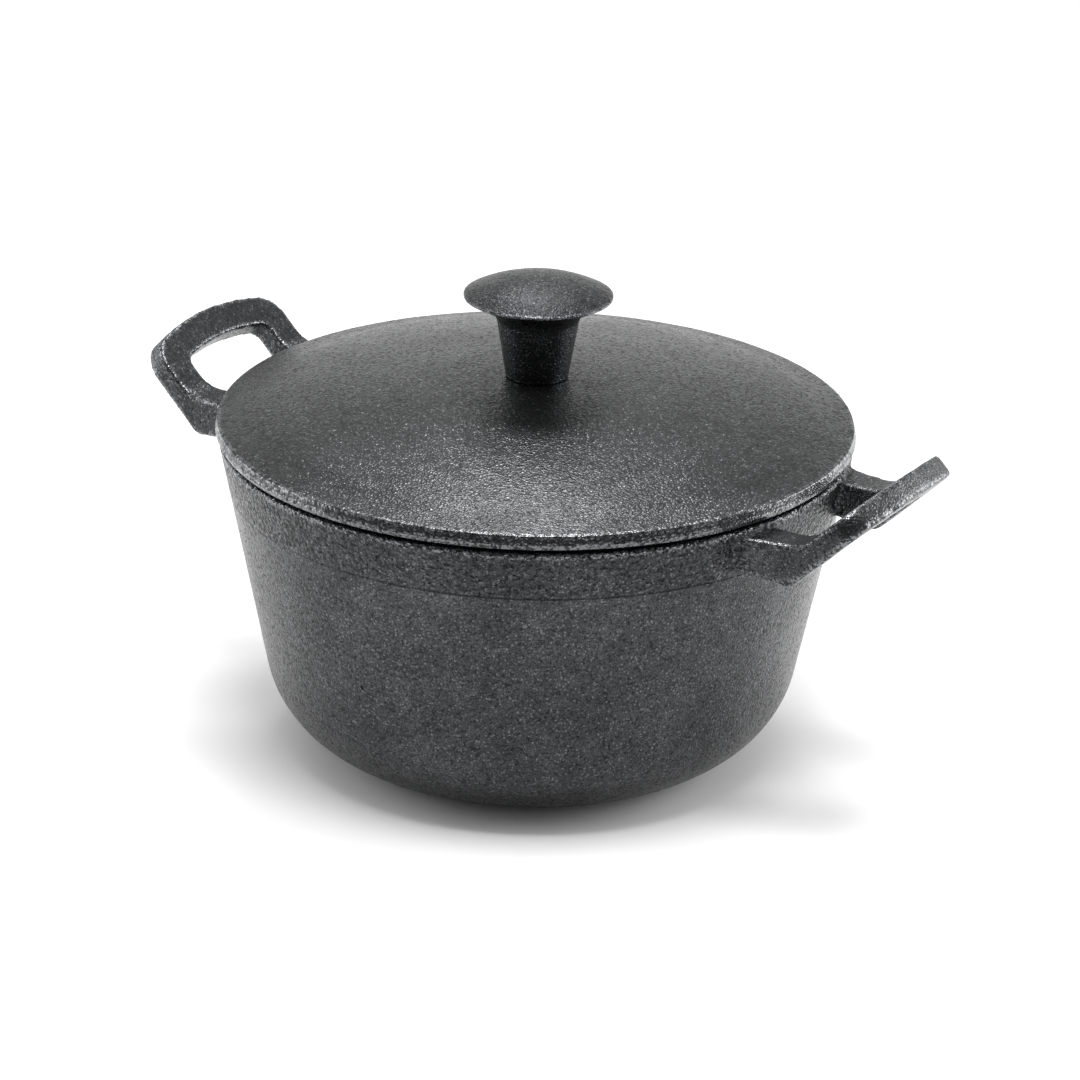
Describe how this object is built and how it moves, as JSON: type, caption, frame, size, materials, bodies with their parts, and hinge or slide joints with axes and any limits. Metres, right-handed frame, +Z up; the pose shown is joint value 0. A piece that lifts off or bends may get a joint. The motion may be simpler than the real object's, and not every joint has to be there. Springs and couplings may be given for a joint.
{
  "type": "dutch oven",
  "caption": "Round cast iron casserole with sloping sides, integral raised loop handles and a shallow domed lid that lifts off by a screwed-on mushroom knob.",
  "frame": {"origin": "centre of the pot's base, on the surface it stands on", "axes": "+X along the line of the handles, +Z up along the axis of the pot, lid closed"},
  "size_m": [0.3188, 0.24, 0.1832],
  "materials": {
    "pot_iron": "dark seasoned sand casting, fine pebbled skin, coarser above the parting line",
    "lid_iron": "dark seasoned sand casting, finer pebbled skin",
    "knob_iron": "dark seasoned sand casting, grainy",
    "screw_steel": "plain stainless steel",
    "spring_steel": "dull spring steel"
  },
  "bodies": {
    "pot": {"pot": "pot_iron"},
    "lid": {"lid": "lid_iron", "knob": "knob_iron", "knob_screw": "screw_steel", "lock_washer": "spring_steel"}
  },
  "joints": [
    {"name": "lid_lift", "type": "slide", "parent": "pot", "child": "lid", "axis": [0, 0, 1], "range_m": [0, 0.1]}
  ]
}
